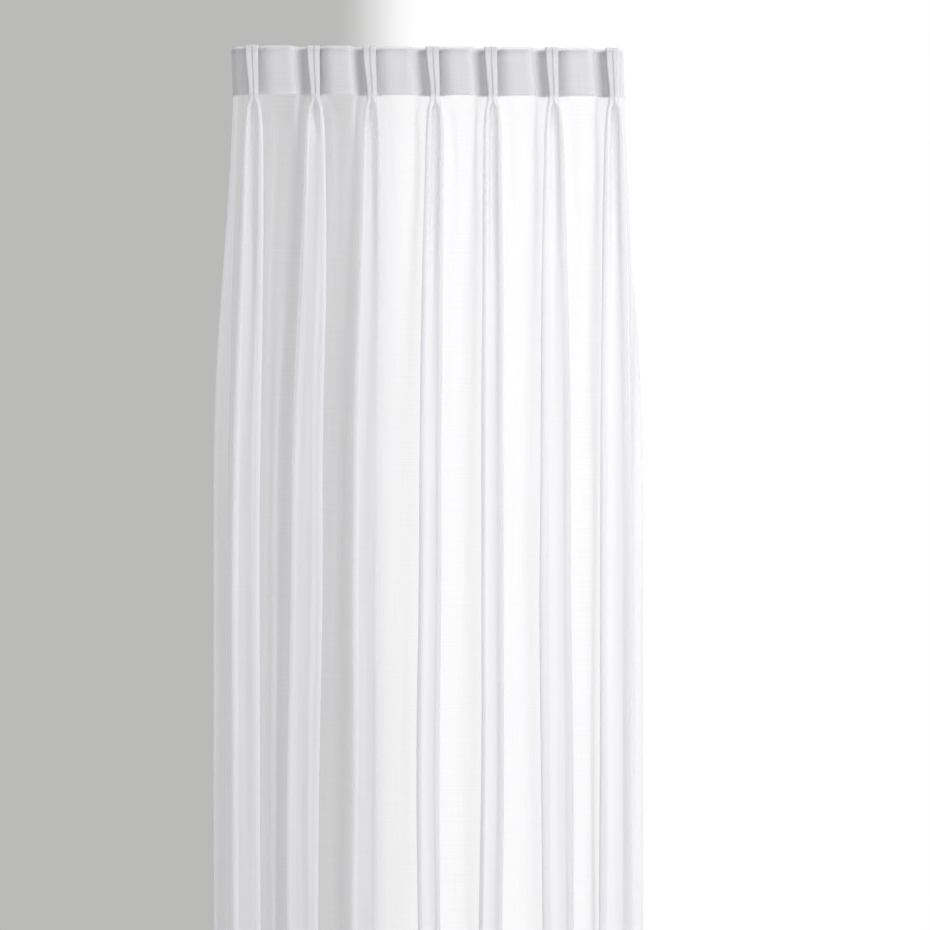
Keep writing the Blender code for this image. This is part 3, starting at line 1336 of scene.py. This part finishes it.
@dataclass
class Studio:
    """The pale floor, soft light and camera."""

    photo_px: int = 930
    metres_per_px: float = 0.00165
    heading_px: Pair = (430, 48)
    distance: float = 6.0
    azimuth: float = -4.0
    sensor: float = 36.0
    sees_to: float = 50.0
    layers_seen: int = 48
    floor_drop: float = 2.515
    floor_size: float = 60.0
    floor_behind: float = 7.5
    lamps: tuple[Lamp, ...] = (
        Lamp("key", (1.9, -2.6, 0.6), (0, 0, -0.9), 1.5, 57),
        Lamp("fill", (-1.2, -4.4, 0.6), (0, 0, -0.9), 2.4, 28),
        Lamp("back", (1.4, 1.6, -0.2), (0.1, 0, -0.9), 1.6, 34),
    )
    dim: Triple = (0.49, 0.49, 0.485)
    bright: Triple = (1.0, 1.0, 1.0)
    dim_until: float = 0.033
    bright_from: float = 0.057

    def add_floor(self) -> None:
        """Lays the floor just below the curtain."""
        bpy.ops.object.select_all(action="DESELECT")
        middle = self.floor_behind - self.floor_size / 2
        bpy.ops.mesh.primitive_plane_add(size=self.floor_size, location=(0, middle, -self.floor_drop))
        floor = bpy.context.object
        floor.name = "studio_floor"
        floor.data.materials.append(FloorFinish().build())

    def add_lamps(self) -> None:
        """Hangs the lamps."""
        for lamp in self.lamps:
            data = bpy.data.lights.new(lamp.name, "AREA")
            data.shape = "SQUARE"
            data.size = lamp.size
            data.energy = lamp.power
            thing = add_object(lamp.name, data)
            thing.location = lamp.place
            way = Vector(lamp.aim) - Vector(lamp.place)
            thing.rotation_euler = way.to_track_quat("-Z", "Y").to_euler()
            thing.visible_camera = False

    def add_world(self) -> None:
        """Surrounds the scene with a soft grey that fades to white on the right."""
        world = bpy.data.worlds.new("soft_grey")
        bpy.context.scene.world = world
        bench = Bench(world)
        right = bench.parts(bench.node("ShaderNodeTexCoord", output="Generated"))[0]
        across = ((right - self.dim_until) / (self.bright_from - self.dim_until)).clamped()
        colour = bench.tint(across * across * (3 - 2 * across), self.dim, self.bright)
        light = bench.node("ShaderNodeBackground", inputs={"Color": colour, "Strength": 1.0})
        bench.finish(light, "ShaderNodeOutputWorld")

    def add_camera(self) -> None:
        """Sets the camera level, at the photograph's angle and framing."""
        middle = self.photo_px / 2
        target = Vector((
            (middle - self.heading_px[0]) * self.metres_per_px,
            0.0,
            (self.heading_px[1] - middle) * self.metres_per_px,
        ))
        turn = math.radians(self.azimuth)
        data = bpy.data.cameras.new("photo_camera")
        data.sensor_width = self.sensor
        data.lens = self.sensor * self.distance / (self.photo_px * self.metres_per_px)
        data.clip_end = self.sees_to
        camera = add_object("photo_camera", data)
        camera.location = target + Vector((math.sin(turn), -math.cos(turn), 0.0)) * self.distance
        camera.rotation_euler = (math.pi / 2, 0.0, turn)
        bpy.context.scene.camera = camera

    def build(self) -> None:
        """Sets the whole studio up."""
        self.add_floor()
        self.add_lamps()
        self.add_world()
        self.add_camera()
        scene = bpy.context.scene
        scene.view_settings.view_transform = "Standard"
        scene.cycles.transparent_max_bounces = self.layers_seen
        LOG.info("studio: %d lamps", len(self.lamps))


PLEATS = (
    Pleat(-294, 3, -9, -12, -15, 48, sway=1.6, phase=0.10, lean=2.0, filled=0.10),
    Pleat(-193, 3, -14, -21, -25, 52, sway=1.4, phase=0.62, lean=6.0, filled=0.95),
    Pleat(-101, 4, -5, -10, -12, 46, sway=1.3, phase=0.30, lean=1.5, filled=0.45),
    Pleat(3, 4, -3, -5, -6, 38, sway=1.5, phase=0.85, lean=-1.5, filled=0.10),
    Pleat(99, 3, 2, 0, -2, 38, sway=1.3, phase=0.48, lean=1.0, filled=0.20),
    Pleat(200, 3, 9, 12, 15, 54, sway=1.6, phase=0.05, lean=-3.0, filled=0.50),
    Pleat(300, 3, 6, 8, 14, 54, sway=1.4, phase=0.72, lean=-1.0, filled=0.10),
)

SPACES = (
    Space(ridge=0.44, rise=13, phase=0.15),
    Space(ridge=0.60, rise=6, phase=0.55),
    Space(ridge=0.30, rise=2, phase=0.80),
    Space(ridge=0.55, rise=3, phase=0.35),
    Space(ridge=0.38, rise=2, phase=0.05),
    Space(ridge=0.62, rise=5, phase=0.65),
)

# A row holds the drop, neck, belly, tip, gap, the space's four bends, valley, own and flush.
STATIONS = tuple(Station(*row) for row in (
    (0, 7.4, 10.8, 5.8, 0.9, 14.5, 17, 16, 3, 0.12, 0.0, 1),
    (3, 7.4, 10.7, 5.8, 0.9, 14.5, 17, 16, 3, 0.12, 0.0, 1),
    (42, 7.4, 9.3, 5.1, 0.9, 14.5, 17, 16, 3, 0.12, 0.0, 1),
    (80, 7.4, 7.6, 4.2, 0.9, 12.5, 16, 15, 2, 0.12, 0.0, 1),
    (86, 7.4, 7.8, 4.5, 1.1, 12, 16, 15, 1, 0.12, 0.0, 0.9),
    (104, 7.5, 12.4, 8.7, 4.4, 5, 13, 12, -3, 0.20, 0.0),
    (140, 7.8, 14.8, 11.0, 5.6, -4, 10, 8, -8, 0.28, 0.1),
    (230, 8.0, 16.0, 11.7, 6.0, -10, 4, 2, -12, 0.36, 0.3),
    (420, 8.4, 17.4, 12.4, 6.0, -13, -5, -7, -13, 0.78, 0.6),
    (680, 8.8, 18.2, 12.6, 6.4, -13, -11, -12, -13, 0.91, 0.9),
    (1080, 9.2, 18.4, 12.6, 6.6, -13, -12, -13, -13, 0.92, 1.0),
    (1440, 9.6, 18.6, 12.8, 6.6, -13, -12, -13, -13, 0.93, 1.0),
    (1950, 10.2, 19.2, 13.0, 6.8, -13, -12, -13, -13, 0.93, 1.0),
    (2500, 11.0, 20.0, 13.6, 7.0, -13, -12, -13, -13, 0.93, 1.0),
))

# The pull lines beside a pinch: upper, lower, start, end and its change from one space to the
# next, width and rise.
FAN = (
    (0.04, 0.26, 0.082, 0.300, 0.05, 0.006, 0.0016),
    (0.13, 0.40, 0.090, 0.240, 0.05, 0.007, -0.0014),
    (0.96, 0.76, 0.082, 0.340, -0.05, 0.006, 0.0016),
    (0.86, 0.62, 0.090, 0.260, -0.05, 0.007, -0.0013),
)

# The folds of the spaces: the space's number, upper, lower, start, end, width and rise.
FOLDS = (
    (0, 0.36, 0.46, 0.14, 0.72, 0.007, 0.0045),
    (0, 0.10, 0.14, 0.09, 0.68, 0.006, -0.0032),
    (1, 0.10, 0.17, 0.09, 0.80, 0.007, -0.0055),
    (1, 0.36, 0.32, 0.16, 0.62, 0.010, 0.0020),
    (0, 0.62, 0.66, 0.55, 1.90, 0.008, -0.0022),
    (1, 0.30, 0.24, 0.40, 1.70, 0.009, 0.0024),
    (1, 0.78, 0.70, 1.10, 2.60, 0.010, 0.0022),
    (2, 0.46, 0.38, 0.25, 1.30, 0.007, 0.0015),
    (2, 0.66, 0.72, 0.80, 2.60, 0.010, -0.0018),
    (3, 0.34, 0.30, 0.30, 1.20, 0.008, 0.0015),
    (3, 0.72, 0.62, 0.60, 2.30, 0.010, 0.0017),
    (4, 0.62, 0.70, 0.25, 1.50, 0.008, -0.0015),
    (4, 0.30, 0.24, 1.00, 2.60, 0.010, 0.0018),
    (5, 0.40, 0.30, 0.30, 1.60, 0.008, 0.0020),
)


def hand_creases() -> tuple[Crease, ...]:
    """Places the pull lines of every pinch, and the folds of the spaces and ends.

    Returns:
        The creases.
    """
    found = []
    for number in range(len(SPACES)):
        for upper, lower, start, end, later, width, rise in FAN:
            end += later * (number % 3)
            found.append(Crease(Stretch.SPACE, number, upper, lower, start, end, width, rise))
    found += [Crease(Stretch.SPACE, *fold) for fold in FOLDS]
    found.append(Crease(Stretch.LEFT_END, 0, 0.50, 0.40, 0.15, 1.40, 0.006, 0.0020))
    found.append(Crease(Stretch.RIGHT_END, 0, 0.50, 0.60, 0.30, 1.80, 0.006, 0.0020))
    return tuple(found)


def main() -> None:
    """Builds the curtain and its studio, in order."""
    logging.basicConfig(level=logging.INFO, format="%(name)s: %(message)s")
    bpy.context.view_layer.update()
    section = HangingSection(Cut(), PLEATS, SPACES, STATIONS)
    surface = HungSurface(section, hand_creases())
    thread = Sewing(surface, ThreadFinish()).build()
    VoilePanel(surface, VoileFinish(section.cut), thread).build()
    HeadingTape(surface, TapeFinish(section.cut)).build()
    Studio().build()
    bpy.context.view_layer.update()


if __name__ == "__main__":
    main()
